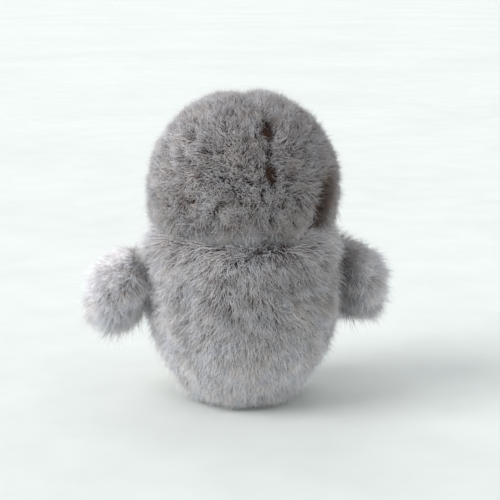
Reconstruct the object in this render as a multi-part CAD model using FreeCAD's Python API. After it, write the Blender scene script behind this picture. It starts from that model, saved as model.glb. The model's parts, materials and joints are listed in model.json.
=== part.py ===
"""A small jointed plush penguin: a stuffed head and torso of long grey pile, a short white
face and belly, felt feet and beak, and two wings. The head and both wings turn on disc
joints, each a cotter pin through two washers and two fibreboard discs.

Millimetres. +Z is up, the toy faces -Y, its own left side is +X, and the origin is the
middle of its base. A pile panel's solid is the fabric with its pile as it stands, from the
stuffing to the dense surface of the pile; loose tips stand a little further out.
"""

import FreeCAD, Part

import math
import os

V = FreeCAD.Vector
UP = V(0, 0, 1)
FORWARD = V(0, -1, 0)
FAR = 200.0  # longer than anything here, for cutting tools
LEFT_HALF, FRONT_HALF = -90.0, -180.0  # where a half turn about +Z starts

# Pile and fabric
PILE = 5.0  # grey pile with its backing
FACE_SET_BACK = 2.4  # the face's pile is this much shorter
BELLY_SET_BACK = 1.6
SEAT = 2.0  # pressed pile and backing at the neck
BASE_SEAT = 3.0  # and under the toy's weight
PART_GAP = 0.4  # between the pile of two bodies at a joint
PIN_PLAY = 0.05  # radial, where a pin turns

# Torso: an egg of revolution, trimmed flat at the base and the neck
TORSO_R = 35.0
TORSO_WIDEST = 40.0
TORSO_RISE = 62.0  # half-height of the upper ellipse
TORSO_DROP = 42.5  # half-height of the lower one, which passes below the floor
NECK_Z = 66.0
BASE_PANEL_R = 17.0

# Head
HEAD_R = 36.2
HEAD_WIDEST = 81.8
HEAD_RISE = HEAD_R  # the crown is a half ball
HEAD_DROP = 43.0
HEAD_LOW = NECK_Z + PART_GAP

# White areas
FACE_LOBE_R, FACE_LOBE_X, FACE_LOBE_Z = 12.5, 10.0, 87.0
CHIN_LOBE_R, CHIN_LOBE_Z = 13.0, 82.5
BELLY_HALF_WIDTH, BELLY_HALF_HEIGHT, BELLY_Z = 23.0, 28.0, 34.0

# Eyes and beak
EYE_X, EYE_Z = 10.5, 87.5
EYE_R, EYE_DOME = 3.2, 2.3
EYE_SHANK_R, EYE_SHANK_LENGTH = 1.0, 6.5
EYE_WASHER_R, EYE_WASHER_T = 4.0, 0.8
BEAK_Z, BEAK_ROOT_Y = 80.5, -30.0
BEAK_UPPER = (5.4, 15.5, 5.0)  # half-width, length from the root, height
BEAK_LOWER = (4.6, 12.5, 3.4)

# Joint hardware
NECK_PIN_R = 1.2
NECK_DISC_R, NECK_DISC_T = 13.0, 2.0
NECK_WASHER_R, NECK_WASHER_T = 4.0, 0.6
NECK_BORE = SEAT + NECK_DISC_T + NECK_WASHER_T  # from the torso's top to the washer's far side
WING_PIN_R = 0.8
WING_DISC_R, WING_DISC_T = 5.0, 1.2
WING_WASHER_R, WING_WASHER_T = 2.5, 0.5
CROWN_GAP = 0.3  # from the last washer to the rolled ends of a pin
POCKET_PLAY = 0.4  # between a pin's rolled ends and the stuffing round them
CURVED_WALL_GAP = 0.7  # a flat disc clears the curved wall behind it by this

# Wings, in a frame of their own: +X along the shoulder pin, outward, and -Z down the wing
SHOULDER_Z = 52.0
SHOULDER_AZIMUTH = -8.0  # from the toy's side towards its front
WING_HALF = (11.0, 13.0, 16.5)  # half-thickness, half-width and half-length with the pile
WING_CENTRE = (9.8, 0.0, -8.1)
WING_FLARE = 20.0  # the tip stands this many degrees further out than the root
WING_ROOT_R = 7.2  # flat round root that turns on the torso
WING_ROOT_DEPTH = 7.0
WING_PILE = 5.0
WING_SEAT = 1.6  # pressed pile and backing at the shoulder

# Feet
FOOT_X, FOOT_Y = 10.5, -17.0  # middle of the heel
FOOT_TURN_OUT = 8.0
HEEL_R, TOE_R, TOE_REACH = 5.6, 3.1, 15.5
TOE_ANGLES = (-25.0, 0.0, 25.0)
SOLE_T, INSOLE_T, UPPER_T = 0.9, 1.5, 1.1
INSOLE_INSET = 1.2

# Ballast
POUCH_R, POUCH_HALF_HEIGHT, POUCH_Z, POUCH_CLOTH = 19.0, 9.0, 16.5, 0.5
POUCH_FLAT = 0.95  # the pouch is flat past this share of its half-height
SHOT_R, SHOT_SPACING = 2.25, 4.7

# Thread
THREAD_R = 0.3
GATHER_R = 3.2
STITCH_LENGTH, STITCH_SPACING = 3.0, 3.6
STITCH_LOW, STITCH_HIGH = 24.0, 54.0
STITCH_DEPTH = 1.0  # outside the stuffing


def ellipse_arc(radius, half_height, centre_z, start, end):
    """Arc of an upright ellipse in the XZ plane, between two latitudes in radians."""
    centre = V(0, 0, centre_z)
    side, top = centre + V(radius, 0, 0), centre + V(0, 0, half_height)
    if radius == half_height:
        points = [centre + V(math.cos(a), 0, math.sin(a)) * radius for a in (start, (start + end) / 2, end)]
        return Part.Arc(*points).toShape()
    if radius > half_height:
        return Part.ArcOfEllipse(Part.Ellipse(side, top, centre), start, end).toShape()
    quarter = math.pi / 2
    tall = Part.Ellipse(top, centre - V(radius, 0, 0), centre)
    return Part.ArcOfEllipse(tall, start - quarter, end - quarter).toShape()


class Egg:
    """An outline of revolution: a half-ellipse above the widest height and another below,
    trimmed flat at low, and at high unless its top is round."""

    def __init__(self, radius, rise, drop, widest, low, high=None):
        bottom = math.asin((low - widest) / drop)
        top = math.asin((high - widest) / rise) if high else math.pi / 2
        self.arcs = [
            ellipse_arc(radius, drop, widest, bottom, 0),
            ellipse_arc(radius, rise, widest, 0, top),
        ]
        self.flats = [(radius * math.cos(bottom), low)]
        if high:
            self.flats.append((radius * math.cos(top), high))
        self.poles = (low, high or widest + rise)

    def caps(self):
        """Lines from the trimmed ends of the arcs to the axis."""
        return [Part.makeLine(V(r, 0, z), V(0, 0, z)) for r, z in self.flats]

    def solid(self):
        low, high = self.poles
        axis = Part.makeLine(V(0, 0, low), V(0, 0, high))
        return upright(revolved(self.arcs + self.caps() + [axis], 360))


def revolved(edges, turn):
    return Part.Face(Part.Wire(Part.__sortEdges__(edges))).revolve(V(0, 0, 0), UP, turn)


def upright(solid):
    """The solid with its faces turned outward."""
    if solid.Volume < 0:
        solid.reverse()
    return solid


def half_shell(outer, inner, start):
    """Half of the wall between two outlines of revolution, from the angle start."""
    edges = outer.arcs + outer.caps() + inner.arcs + inner.caps()
    for z_out, z_in in zip(outer.poles, inner.poles):
        edges.append(Part.makeLine(V(0, 0, z_out), V(0, 0, z_in)))
    half = upright(revolved(edges, 180))
    half.rotate(V(0, 0, 0), UP, start)
    return half


def ellipsoid(half_sizes, centre):
    """An ellipsoid with three different half-sizes; its poles lie along X."""
    ball = Part.makeSphere(1.0)
    ball.rotate(V(0, 0, 0), V(0, 1, 0), 90)
    scale = FreeCAD.Matrix()
    scale.scale(V(*half_sizes))
    solid = ball.transformGeometry(scale)
    solid.translate(V(*centre))
    return solid


def cylinder(radius, start, along, length):
    return Part.makeCylinder(radius, length, start, along)


def ring(outer, inner, start, along, length):
    """A flat disc or washer with a hole through it."""
    return cylinder(outer, start, along, length).cut(cylinder(inner, start, along, length))


def mirrored(shape):
    return shape.mirror(V(0, 0, 0), V(1, 0, 0))


def cotter_pin(radius, shaft_length):
    """Split pin along -Z from its washer's face at the origin: an eye above, a shaft, and
    two legs rolled outward and back up at the far end."""
    wire = radius * 0.5
    eye = Part.makeTorus(radius * 1.1, wire * 1.1, V(0, 0, radius * 1.1 + wire), V(0, 1, 0))
    pin = cylinder(radius, V(0, 0, -shaft_length), UP, shaft_length).fuse(eye)
    curl = radius * 1.3
    for side in (-1, 1):
        start = V(side * wire, 0, -shaft_length)
        section = Part.Face(Part.Wire(Part.makeCircle(wire * 0.96, start, UP)))
        axis = V(side * (wire + curl), 0, -shaft_length)
        pin = pin.fuse(section.revolve(axis, V(0, side, 0), -170))
    return pin.removeSplitter()


def crown_pocket(radius, shaft_length):
    """The round space that a pin's rolled ends sweep as it turns, with play."""
    wire, curl = radius * 0.5, radius * 1.3
    reach = 2 * wire + 2 * curl + POCKET_PLAY
    depth = curl + wire + CROWN_GAP + 2 * POCKET_PLAY
    return cylinder(reach, V(0, 0, -shaft_length - curl - wire - POCKET_PLAY), UP, depth)


def torso_outline(inset=0.0, low=0.0, high=NECK_Z):
    return Egg(TORSO_R - inset, TORSO_RISE - inset, TORSO_DROP - inset, TORSO_WIDEST, low, high)


def head_outline(inset=0.0, low=HEAD_LOW):
    return Egg(HEAD_R - inset, HEAD_RISE - inset, HEAD_DROP - inset, HEAD_WIDEST, low)


def face_region():
    """Heart-shaped tool: two lobes round the eyes and one for the chin."""
    lobes = [cylinder(CHIN_LOBE_R, V(0, 0, CHIN_LOBE_Z), FORWARD, FAR)]
    for x in (-FACE_LOBE_X, FACE_LOBE_X):
        lobes.append(cylinder(FACE_LOBE_R, V(x, 0, FACE_LOBE_Z), FORWARD, FAR))
    return lobes[0].multiFuse(lobes[1:]).removeSplitter()


def belly_region():
    """Upright oval tool for the bib."""
    centre = V(0, 0, BELLY_Z)
    oval = Part.Ellipse(centre + V(0, 0, BELLY_HALF_HEIGHT), centre + V(BELLY_HALF_WIDTH, 0, 0), centre)
    return Part.Face(Part.Wire(oval.toShape())).extrude(FORWARD * FAR)


def surface_frame(x, z):
    """The point of the face's surface at x and z, and its outward normal."""
    radius, rise = HEAD_R - FACE_SET_BACK, HEAD_RISE - FACE_SET_BACK
    up = z - HEAD_WIDEST
    y = -math.sqrt(radius**2 * (1 - (up / rise) ** 2) - x**2)
    normal = V(x / radius**2, y / radius**2, up / rise**2).normalize()
    return V(x, y, z), normal


def eye_parts():
    """The left eye, its hole through the face and stuffing, and its washer."""
    point, out = surface_frame(EYE_X, EYE_Z)
    ball_r = (EYE_R**2 + EYE_DOME**2) / (2 * EYE_DOME)
    ball = Part.makeSphere(ball_r, point + out * (EYE_DOME - ball_r))
    dome = ball.common(cylinder(2 * EYE_R, point, out, FAR))
    shank = cylinder(EYE_SHANK_R, point, out * -1, EYE_SHANK_LENGTH)
    depth = PILE - FACE_SET_BACK + CURVED_WALL_GAP
    washer = ring(EYE_WASHER_R, EYE_SHANK_R, point - out * depth, out * -1, EYE_WASHER_T)
    return {"eye": dome.fuse(shank).removeSplitter(), "hole": shank, "washer": washer}


def beak_half(sizes, side):
    """Half of a pointed oval above or below the mouth line, cut to the face's surface."""
    width, length, height = sizes
    whole = ellipsoid((width, length, height), (0, BEAK_ROOT_Y, BEAK_Z))
    keep = Part.makeBox(FAR, FAR, FAR, V(-FAR / 2, -FAR, BEAK_Z if side > 0 else BEAK_Z - FAR))
    return whole.common(keep).cut(head_outline(FACE_SET_BACK).solid())


def neck_hardware():
    """Discs, washers and the pin of the neck, and the pocket for its rolled ends."""
    head_disc_z = HEAD_LOW + SEAT
    head_washer_z = head_disc_z + NECK_DISC_T
    pin_z = head_washer_z + NECK_WASHER_T
    torso_disc_z = NECK_Z - SEAT - NECK_DISC_T
    torso_washer_z = torso_disc_z - NECK_WASHER_T
    shaft = pin_z - torso_washer_z + CROWN_GAP
    bore = NECK_PIN_R + PIN_PLAY
    pin = cotter_pin(NECK_PIN_R, shaft)
    pocket = crown_pocket(NECK_PIN_R, shaft)
    for shape in (pin, pocket):
        shape.translate(V(0, 0, pin_z))
    return {
        "head_neck_disc": ring(NECK_DISC_R, NECK_PIN_R, V(0, 0, head_disc_z), UP, NECK_DISC_T),
        "head_neck_washer": ring(NECK_WASHER_R, NECK_PIN_R, V(0, 0, head_washer_z), UP, NECK_WASHER_T),
        "neck_cotter_pin": pin,
        "torso_neck_disc": ring(NECK_DISC_R, bore, V(0, 0, torso_disc_z), UP, NECK_DISC_T),
        "torso_neck_washer": ring(NECK_WASHER_R, bore, V(0, 0, torso_washer_z), UP, NECK_WASHER_T),
        "pocket": pocket,
    }


def gathering_thread(z):
    """The thread that draws a neck opening shut round the pin."""
    return Part.makeTorus(GATHER_R, THREAD_R, V(0, 0, z), UP)


def head_parts(neck):
    cavity = head_outline(PILE, HEAD_LOW + SEAT)
    inner = cavity.solid()
    thread = gathering_thread(HEAD_LOW + SEAT / 2)
    pin_hole = cylinder(NECK_PIN_R, V(0, 0, NECK_Z), UP, 2 * SEAT)
    eye = eye_parts()
    right_eye = {name: mirrored(shape) for name, shape in eye.items()}
    left = half_shell(head_outline(), cavity, LEFT_HALF).cut(face_region()).cut(pin_hole).cut(thread)
    face = half_shell(head_outline(FACE_SET_BACK), cavity, FRONT_HALF).common(face_region())
    face = face.cut(eye["hole"]).cut(right_eye["hole"])
    stuffing = inner
    for filled in (
        neck["head_neck_disc"],
        neck["head_neck_washer"],
        neck["neck_cotter_pin"],
        eye["eye"],
        eye["washer"],
        right_eye["eye"],
        right_eye["washer"],
    ):
        stuffing = stuffing.cut(filled)
    return {
        "head_panel_left": left,
        "head_panel_right": mirrored(left),
        "face_panel": face,
        "head_stuffing": stuffing,
        "eye_left": eye["eye"],
        "eye_right": right_eye["eye"],
        "eye_washer_left": eye["washer"],
        "eye_washer_right": right_eye["washer"],
        "beak_upper": beak_half(BEAK_UPPER, 1),
        "beak_lower": beak_half(BEAK_LOWER, -1),
        "head_gathering_thread": thread,
    }


def shoulder_frame():
    """Radius of the torso's surface at the shoulder, and the angle its normal rises at."""
    up = SHOULDER_Z - TORSO_WIDEST
    radius = TORSO_R * math.sqrt(1 - (up / TORSO_RISE) ** 2)
    tilt = math.degrees(math.atan2(up / TORSO_RISE**2, radius / TORSO_R**2))
    return radius, tilt


def at_shoulder(shape):
    """Carries a shape from the left wing's own frame to the left shoulder."""
    radius, tilt = shoulder_frame()
    placed = shape.copy()
    placed.rotate(V(0, 0, 0), V(0, 1, 0), -tilt)
    placed.translate(V(radius, 0, SHOULDER_Z))
    placed.rotate(V(0, 0, 0), UP, SHOULDER_AZIMUTH)
    return placed


def along_pin(shape):
    """Turns a shape made along +Z to lie along the wing frame's +X."""
    turned = shape.copy()
    turned.rotate(V(0, 0, 0), V(0, 1, 0), 90)
    return turned


def wing_blob(inset, seat):
    """The wing's outline, or its stuffing with an inset: a flattened egg with a flat round
    root against the torso."""
    blob = ellipsoid([half - inset for half in WING_HALF], (0, 0, 0))
    blob.rotate(V(0, 0, 0), V(0, 1, 0), -WING_FLARE)
    blob.translate(V(*WING_CENTRE))
    blob = blob.common(Part.makeBox(FAR, FAR, FAR, V(seat, -FAR / 2, -FAR / 2)))
    root_r = WING_ROOT_R - (1.4 if inset else 0.0)
    root = cylinder(root_r, V(seat, 0, 0), V(1, 0, 0), WING_ROOT_DEPTH - seat)
    return blob.fuse(root).removeSplitter()


def wing_parts():
    """The left wing in its own frame, with the discs and washers of its joint."""
    seat = PART_GAP + WING_SEAT
    outline, core = wing_blob(0.0, PART_GAP), wing_blob(WING_PILE, seat)
    out = V(1, 0, 0)
    washer_x = seat + WING_DISC_T
    pin_x = washer_x + WING_WASHER_T
    disc = ring(WING_DISC_R, WING_PIN_R, V(seat, 0, 0), out, WING_DISC_T)
    washer = ring(WING_WASHER_R, WING_PIN_R, V(washer_x, 0, 0), out, WING_WASHER_T)
    inner_disc_x = -(PILE + CURVED_WALL_GAP)
    inner_washer_x = inner_disc_x - WING_DISC_T
    bore_end_x = inner_washer_x - WING_WASHER_T
    bore = WING_PIN_R + PIN_PLAY
    shaft = pin_x - bore_end_x + CROWN_GAP
    pin, pocket = along_pin(cotter_pin(WING_PIN_R, shaft)), along_pin(crown_pocket(WING_PIN_R, shaft))
    for shape in (pin, pocket):
        shape.translate(V(pin_x, 0, 0))
    fabric = outline.cut(core).cut(cylinder(WING_PIN_R, V(0, 0, 0), out, seat))
    seam = Part.makeBox(FAR, FAR, FAR, V(WING_CENTRE[0], -FAR / 2, -FAR / 2))
    return {
        "outer_panel": fabric.common(seam),
        "inner_panel": fabric.cut(seam),
        "stuffing": core.cut(disc).cut(washer).cut(pin),
        "disc": disc,
        "washer": washer,
        "cotter_pin": pin,
        "shoulder_disc": ring(WING_DISC_R, bore, V(inner_disc_x, 0, 0), out * -1, WING_DISC_T),
        "shoulder_washer": ring(WING_WASHER_R, bore, V(inner_washer_x, 0, 0), out * -1, WING_WASHER_T),
        "bore": cylinder(bore, V(bore_end_x, 0, 0), out, PART_GAP - bore_end_x),
        "pocket": pocket,
    }


def ballast_shot():
    """Steel balls packed in three layers inside the pouch, each in the hollows of the last."""
    inset = POUCH_CLOTH + SHOT_R
    radius, half = POUCH_R - inset, POUCH_HALF_HEIGHT - inset
    row_pitch, layer_pitch = SHOT_SPACING * math.sqrt(3 / 4), SHOT_SPACING * math.sqrt(2 / 3)
    steps = range(-4, 5)
    balls = []
    for layer in (-1, 0, 1):
        for row in steps:
            for step in steps:
                x = (step + 0.5 * (abs(row + layer) % 2)) * SHOT_SPACING
                y = (row + abs(layer) / 3) * row_pitch
                z = layer * layer_pitch
                if (x**2 + y**2) / radius**2 + z**2 / half**2 < 1:
                    balls.append(Part.makeSphere(SHOT_R, V(x, y, POUCH_Z + z)))
    return Part.makeCompound(balls)


def pouch_outline(inset):
    half = POUCH_HALF_HEIGHT - inset
    reach = POUCH_FLAT * half
    return Egg(POUCH_R - inset, half, half, POUCH_Z, POUCH_Z - reach, POUCH_Z + reach).solid()


def closing_stitches():
    """Ladder stitches across the back seam, just outside the stuffing."""
    stitches = []
    count = int((STITCH_HIGH - STITCH_LOW) / STITCH_SPACING) + 1
    for step in range(count):
        z = STITCH_LOW + step * STITCH_SPACING
        half = (TORSO_RISE if z > TORSO_WIDEST else TORSO_DROP) - PILE
        depth = (TORSO_R - PILE) * math.sqrt(1 - ((z - TORSO_WIDEST) / half) ** 2) + STITCH_DEPTH
        start = V(-STITCH_LENGTH / 2, depth, z)
        stitches.append(cylinder(THREAD_R, start, V(1, 0, 0), STITCH_LENGTH))
    return Part.makeCompound(stitches)


def tangent_web(start, start_r, end, end_r, z, thickness):
    """The flat plate between two circles, edged by their outer tangents."""
    line = end - start
    lean = math.asin((start_r - end_r) / line.Length)
    heading = math.atan2(line.y, line.x)
    corners = []
    for side in (1, -1):
        angle = heading + side * (math.pi / 2 - lean)
        out = V(math.cos(angle), math.sin(angle), 0)
        corners.append((start + out * start_r, end + out * end_r))
    (a, b), (d, c) = corners
    outline = Part.makePolygon([a, b, c, d, a])
    outline.translate(V(0, 0, z))
    return Part.Face(outline).extrude(UP * thickness)


def foot_slab(z, thickness, inset):
    """Left foot seen from above: a round heel with three toes and the web between them."""
    heel = V(FOOT_X, FOOT_Y, 0)
    slab = cylinder(HEEL_R - inset, heel + UP * z, UP, thickness)
    for angle in TOE_ANGLES:
        heading = math.radians(-90 + FOOT_TURN_OUT + angle)
        toe = heel + V(math.cos(heading), math.sin(heading), 0) * (TOE_REACH - abs(angle) * 0.06)
        slab = slab.fuse(cylinder(TOE_R - inset, toe + UP * z, UP, thickness))
        slab = slab.fuse(tangent_web(heel, HEEL_R - inset, toe, TOE_R - inset, z, thickness))
    return slab.removeSplitter()


def foot_parts(torso):
    insole = foot_slab(SOLE_T, INSOLE_T, INSOLE_INSET)
    upper = foot_slab(SOLE_T, INSOLE_T + UPPER_T, 0.0).cut(insole)
    sole = foot_slab(0.0, SOLE_T, 0.0)
    return {"foot_upper": upper.cut(torso), "foot_insole": insole.cut(torso), "foot_sole": sole.cut(torso)}


def torso_parts(neck, wing):
    cavity = torso_outline(PILE, BASE_SEAT, NECK_Z - SEAT)
    inner = cavity.solid()
    thread, stitches = gathering_thread(NECK_Z - SEAT / 2), closing_stitches()
    bores = cylinder(NECK_PIN_R + PIN_PLAY, V(0, 0, NECK_Z - NECK_BORE), UP, 2 * NECK_BORE)
    left_bore = at_shoulder(wing["bore"])
    bores = bores.multiFuse([left_bore, mirrored(left_bore)])
    base_tool = cylinder(BASE_PANEL_R, V(0, 0, -PILE), UP, 3 * PILE)
    left = half_shell(torso_outline(), cavity, LEFT_HALF).cut(belly_region()).cut(base_tool)
    left = left.cut(bores).cut(thread).cut(stitches)
    belly = half_shell(torso_outline(BELLY_SET_BACK), cavity, FRONT_HALF)
    belly = belly.common(belly_region()).cut(base_tool)
    pouch = pouch_outline(0.0)
    stuffing = inner.cut(pouch).cut(bores).cut(neck["pocket"])
    for disc in (neck["torso_neck_disc"], neck["torso_neck_washer"]):
        stuffing = stuffing.cut(disc)
    for name in ("shoulder_disc", "shoulder_washer", "pocket"):
        shape = at_shoulder(wing[name])
        stuffing = stuffing.cut(shape).cut(mirrored(shape))
    return {
        "back_panel_left": left,
        "back_panel_right": mirrored(left),
        "belly_panel": belly,
        "base_panel": torso_outline().solid().common(base_tool).cut(inner),
        "torso_stuffing": stuffing,
        "ballast_pouch": pouch.cut(pouch_outline(POUCH_CLOTH)),
        "ballast_shot": ballast_shot(),
        "torso_gathering_thread": thread,
        "back_closing_stitches": stitches,
    }


def all_parts():
    neck, wing = neck_hardware(), wing_parts()
    parts = {**head_parts(neck), **torso_parts(neck, wing)}
    parts.update({name: shape for name, shape in neck.items() if name != "pocket"})
    sided = {f"wing_{name}": at_shoulder(wing[name])
             for name in ("outer_panel", "inner_panel", "stuffing", "disc", "washer", "cotter_pin")}
    sided.update({name: at_shoulder(wing[name]) for name in ("shoulder_disc", "shoulder_washer")})
    sided.update(foot_parts(torso_outline().solid()))
    for name, shape in sided.items():
        parts[name + "_left"] = shape
        parts[name + "_right"] = mirrored(shape)
    return parts


def main():
    os.makedirs("parts", exist_ok=True)
    whole = FreeCAD.BoundBox()
    for name, shape in sorted(all_parts().items()):
        shape.exportStep(f"parts/{name}.step")
        whole.add(shape.BoundBox)
        print(f"{name}: {len(shape.Solids)} solid(s), {shape.Volume:.1f} mm3, valid {shape.isValid()}")
    radius, tilt = shoulder_frame()
    print(f"size {whole.XLength:.1f} x {whole.YLength:.1f} x {whole.ZLength:.1f} mm")
    print(f"shoulder at radius {radius:.3f}, its pin rises at {tilt:.3f} degrees")


if __name__ == "__main__":
    main()
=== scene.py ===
import json
import math

import bmesh
import bpy
import numpy as np
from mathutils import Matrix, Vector
from mathutils.kdtree import KDTree


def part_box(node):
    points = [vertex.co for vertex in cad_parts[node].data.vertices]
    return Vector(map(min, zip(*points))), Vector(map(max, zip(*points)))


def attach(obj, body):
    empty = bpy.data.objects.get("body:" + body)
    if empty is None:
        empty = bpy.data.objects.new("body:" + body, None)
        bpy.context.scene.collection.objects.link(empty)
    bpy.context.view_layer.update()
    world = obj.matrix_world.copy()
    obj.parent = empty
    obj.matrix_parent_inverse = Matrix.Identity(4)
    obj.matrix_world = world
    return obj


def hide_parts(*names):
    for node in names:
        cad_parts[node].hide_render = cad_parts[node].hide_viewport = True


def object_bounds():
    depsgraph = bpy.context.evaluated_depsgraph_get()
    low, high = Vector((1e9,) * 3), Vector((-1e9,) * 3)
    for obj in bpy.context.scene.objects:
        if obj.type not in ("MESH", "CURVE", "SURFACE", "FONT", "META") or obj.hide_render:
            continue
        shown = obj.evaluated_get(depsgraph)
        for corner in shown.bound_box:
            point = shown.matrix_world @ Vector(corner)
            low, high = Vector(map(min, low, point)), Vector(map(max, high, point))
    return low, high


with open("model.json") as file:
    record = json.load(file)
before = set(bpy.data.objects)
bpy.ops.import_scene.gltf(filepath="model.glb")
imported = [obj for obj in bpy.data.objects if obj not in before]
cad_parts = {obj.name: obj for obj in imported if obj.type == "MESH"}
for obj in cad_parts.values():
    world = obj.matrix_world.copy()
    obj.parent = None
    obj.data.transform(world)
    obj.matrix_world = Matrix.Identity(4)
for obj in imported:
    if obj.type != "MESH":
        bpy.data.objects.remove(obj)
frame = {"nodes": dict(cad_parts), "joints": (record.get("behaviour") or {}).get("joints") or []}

MM = 0.001  # lengths below are in millimetres until a mesh is made
CAD_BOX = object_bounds()
DRAW = np.random.default_rng(11)
UP = np.array([0.0, 0.0, 1.0])


def box_mm(node):
    low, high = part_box(node)
    return np.array(low) / MM, np.array(high) / MM


HEAD_LOW, HEAD_HIGH = box_mm("head_panel_left")
TORSO_HIGH = box_mm("back_panel_left")[1]

# Camera, to the view that the toy is judged from
AZIMUTH, ELEVATION, DISTANCE, LENS = 168.0, 12.0, 0.506, 96.0
AIM_RIGHT, AIM_UP = 3.0, -2.0
HORIZON, SKY = (0.895, 0.945, 0.928), (0.635, 0.656, 0.677)

# Outlines of the head and torso
HEAD_DROP = 43.0
TORSO_WIDEST, TORSO_RISE, TORSO_DROP = 40.0, 62.0, 42.5

# Fabric
HIDE_T, LOOP_SIZE = 0.6, 0.9
HEAD_DEPTH, TORSO_DEPTH, WING_DEPTH, FLOOR_DEPTH = 4.2, 3.0, 4.2, 0.8
FACE_LOBE = (10.0, 87.0, 12.5)  # a lobe of the face: half-spacing, height and radius
FACE_CHIN = (82.5, 13.0)  # height and radius
BELLY_MIDDLE, BELLY_HALF_WIDTH, BELLY_HALF_HEIGHT = 34.0, 23.0, 28.0
BASE_RADIUS, BASE_TOP = 17.0, 12.0
ELSEWHERE = 9.0  # stands for far away in the signed distances of the panels
DART_ANGLE, DART_SLANT, DART_HEIGHT = 41.0, 12.0, 22.0  # at the neck, and what it gains over its height
DART_WIDTH = 5.0
LEFT_DART = 0.12  # the left dart hardly shows: this much of the right one
NECK_PRESS = 1.0  # the fabric at the neck lies this far from the end of the CAD solid
HEAD_END, TORSO_END = HEAD_LOW[2] + NECK_PRESS, TORSO_HIGH[2] - NECK_PRESS
HEAD_TUCK, TORSO_TUCK = 3.6, 3.0
SKIN_GAP = 0.2  # between a strand and the fabric of the next body
PIN_HOLES = {"neck_turn": 2.3, "shoulder_left": 1.8, "shoulder_right": 1.8}  # radius in the fabric
PIN_REACH = 8.0  # each side of the joint, where its pin passes through fabric
GRID_STEP, AROUND = 1.1, 184

# Pile
STRANDS_A_PIECE = 12000
HEAD_STRANDS, FACE_STRANDS = 36000, 11000  # to a panel
TORSO_STRANDS, BELLY_STRANDS, BASE_STRANDS = 36000, 12000, 4000
WING_STRANDS = {"outer": 9500, "inner": 8000}
BEAK_FIBRES, FOOT_FIBRES = 1400, {"upper": 3200, "sole": 1600}
STRAND_WIDTH = 0.105
OWN_ROUND = 0.75  # how round a strand is shaded; 0 shades it as the surface under it
GUARD_SHARE, GUARD_LENGTH, GUARD_WIDTH, GUARD_HOLD = 0.14, 1.26, 0.6, 0.15  # longer and thinner hairs
ROOT_SINK = 0.15  # roots start this far under the surface
SPINE = np.array([0.0, 0.36, 0.7, 1.0])  # where a strand's rings and its tip lie along it
TAPER = np.array([1.0, 0.9, 0.6])  # width at the rings
FLOOR_CLEAR = 0.12  # strands stay this far off the floor


# ---- vectors and noise

def unit(vectors):
    return vectors / np.maximum(np.linalg.norm(vectors, axis=-1, keepdims=True), 1e-9)


def smooth(value, low, high):
    """0 below low, 1 above high and a smooth rise between; falls instead if low is the greater."""
    share = np.clip((value - low) / (high - low), 0.0, 1.0)
    return share * share * (3.0 - 2.0 * share)


def waves(points, wavelength, parts=3, count=9):
    """Smooth random fields over the points, each about -1 to 1."""
    fields = []
    for _ in range(parts):
        heading = unit(DRAW.normal(size=(count, 3))) / wavelength
        phase = DRAW.uniform(0, 2 * math.pi, count)
        stretch = DRAW.uniform(0.6, 1.5, count)
        total = np.sin(2 * math.pi * (points @ heading.T) * stretch + phase).sum(1)
        fields.append(np.tanh(total / math.sqrt(count / 2)))
    return np.stack(fields, 1)


def wave(points, wavelength):
    """One smooth random field over the points."""
    return waves(points, wavelength, 1)[:, 0]


def tangent(vectors, normals):
    """What is left of the vectors along the surface."""
    return vectors - normals * (vectors * normals).sum(1, keepdims=True)


# ---- meshes

def new_object(name, mesh):
    made = bpy.data.objects.new(name, mesh)
    bpy.context.scene.collection.objects.link(made)
    return made


def mesh_of(name, verts, faces):
    """A smooth mesh from points in millimetres."""
    mesh = bpy.data.meshes.new(name)
    mesh.from_pydata((np.asarray(verts) * MM).tolist(), [], faces)
    mesh.shade_smooth()
    return mesh


def applied(made):
    """Puts an object's modifiers into its mesh and shades it smooth."""
    graph = bpy.context.evaluated_depsgraph_get()
    mesh = bpy.data.meshes.new_from_object(made.evaluated_get(graph))
    made.modifiers.clear()
    made.data = mesh
    mesh.shade_smooth()


def thickened(made, thickness):
    """Gives a sheet its thickness, inward."""
    solid = made.modifiers.new("thickness", "SOLIDIFY")
    solid.thickness, solid.offset = thickness * MM, -1.0
    applied(made)


def at_vertices(mesh, kind):
    """What a mesh holds at its vertices: "co", which is in metres, or "normal"."""
    flat = np.empty(len(mesh.vertices) * 3, np.float32)
    mesh.vertices.foreach_get(kind, flat)
    return flat.reshape(-1, 3).astype(float)


def finish_piece(made, body, look, nodes=()):
    """Gives a piece its material, its body and the CAD nodes it stands for."""
    made.data.materials.clear()
    made.data.materials.append(look)
    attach(made, body)
    if nodes:
        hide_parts(*nodes)
    return made


# ---- materials

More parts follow.
